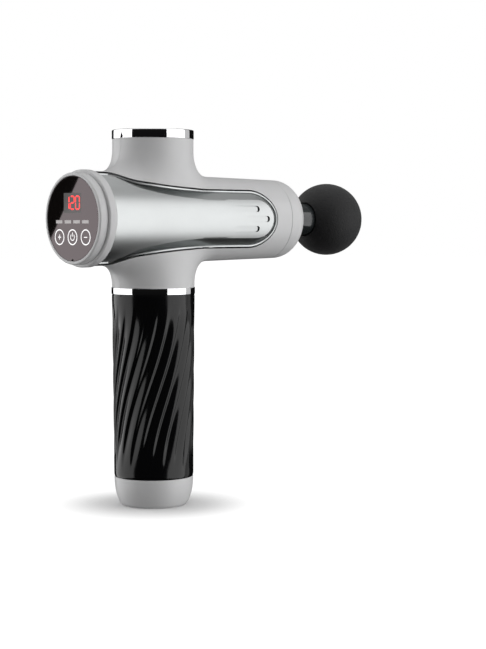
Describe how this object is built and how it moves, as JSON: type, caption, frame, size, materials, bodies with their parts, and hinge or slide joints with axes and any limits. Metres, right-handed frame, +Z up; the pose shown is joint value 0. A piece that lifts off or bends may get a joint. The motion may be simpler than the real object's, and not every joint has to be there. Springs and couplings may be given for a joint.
{
  "type": "massage gun",
  "caption": "Upright percussion massage gun: T-shaped housing with a rear display, fluted grip and a crank-driven piston that carries a push-in ball head.",
  "frame": {"origin": "centre of the flat foot under the handle, on the handle axis", "axes": "+Z up the handle, +X forwards along the barrel to the massage head, +Y to the left of someone who looks along the barrel from the display"},
  "size_m": [0.2319, 0.057, 0.226],
  "materials": {
    "light_grey_plastic": "satin",
    "silver_panel": "satin",
    "display_glass": "gloss",
    "led_red": "gloss",
    "white_light": "satin",
    "steel": "satin",
    "cast_alloy": "satin",
    "green_board": "satin",
    "chrome": "polished",
    "gloss_black_plastic": "gloss",
    "black_grip": "gloss",
    "dark_plastic": "satin",
    "black_rubber": "matte",
    "bearing_plastic": "satin",
    "brass": "satin",
    "copper": "satin",
    "cell_wrap": "satin",
    "magnet": "satin",
    "wire_insulation": "satin",
    "foam": "matte"
  },
  "bodies": {
    "housing": {"shell_left": "light_grey_plastic", "shell_right": "light_grey_plastic", "side_panel_left": "silver_panel", "side_panel_right": "silver_panel", "rear_ring": "light_grey_plastic", "bezel": "light_grey_plastic", "display_glass": "display_glass", "digit_module": "led_red", "level_lights": "white_light", "touch_springs": "steel", "display_board": "green_board", "display_screws": "steel", "nose_cap": "light_grey_plastic", "nose_seal": "black_rubber", "top_ring": "chrome", "top_cap": "gloss_black_plastic", "neck_ring": "chrome", "handle_tube": "dark_plastic", "grip_sleeve": "black_grip", "base_cap": "light_grey_plastic", "charge_socket": "dark_plastic", "charge_pin": "brass", "switch_housing": "dark_plastic", "base_screws": "steel", "cell_holder_lower": "dark_plastic", "battery_cells": "cell_wrap", "cell_links": "steel", "cell_holder_upper": "dark_plastic", "battery_board": "green_board", "driver_board": "green_board", "driver_parts": "dark_plastic", "battery_leads": "wire_insulation", "motor_leads": "wire_insulation", "display_leads": "wire_insulation", "drive_frame": "cast_alloy", "damper_rings": "black_rubber", "front_bush": "bearing_plastic", "motor_stator": "steel", "motor_windings": "copper", "motor_bearings": "steel", "frame_screws": "steel", "shell_screws": "steel"},
    "rotor": {"rotor_bell": "cast_alloy", "rotor_magnets": "magnet", "motor_shaft": "steel", "crank_disc": "steel", "crank_pin": "steel"},
    "con_rod": {"connecting_rod": "cast_alloy", "rod_bearing": "steel"},
    "piston": {"piston": "cast_alloy", "wrist_pin": "steel"},
    "massage_head": {"head_stem": "dark_plastic", "head_ring": "black_rubber", "head_ball": "foam"},
    "switch_rocker": {"power_rocker": "gloss_black_plastic"}
  },
  "joints": [
    {"name": "piston_slide", "type": "slide", "parent": "housing", "child": "piston", "axis": [1, 0, 0], "range_m": [0, 0.012]},
    {"name": "crank_turn", "type": "hinge", "parent": "housing", "child": "rotor", "pos_m": [0, 0, 0.18], "axis": [0, 0, 1], "range_deg": [0, 180]},
    {"name": "rod_swing", "type": "hinge", "parent": "piston", "child": "con_rod", "pos_m": [0.038, 0, 0.173], "axis": [0, 0, 1], "range_deg": [-7.8, 7.8]},
    {"name": "head_pull", "type": "slide", "parent": "piston", "child": "massage_head", "axis": [1, 0, 0], "range_m": [0, 0.024]},
    {"name": "rocker_tilt", "type": "hinge", "parent": "housing", "child": "switch_rocker", "pos_m": [-0.0056, 0, 0.006], "axis": [1, 0, 0], "range_deg": [-22, 0]}
  ],
  "couplings": [
    {"joint": "crank_turn", "follows": "piston_slide", "rad_per_m": 261.8}
  ]
}
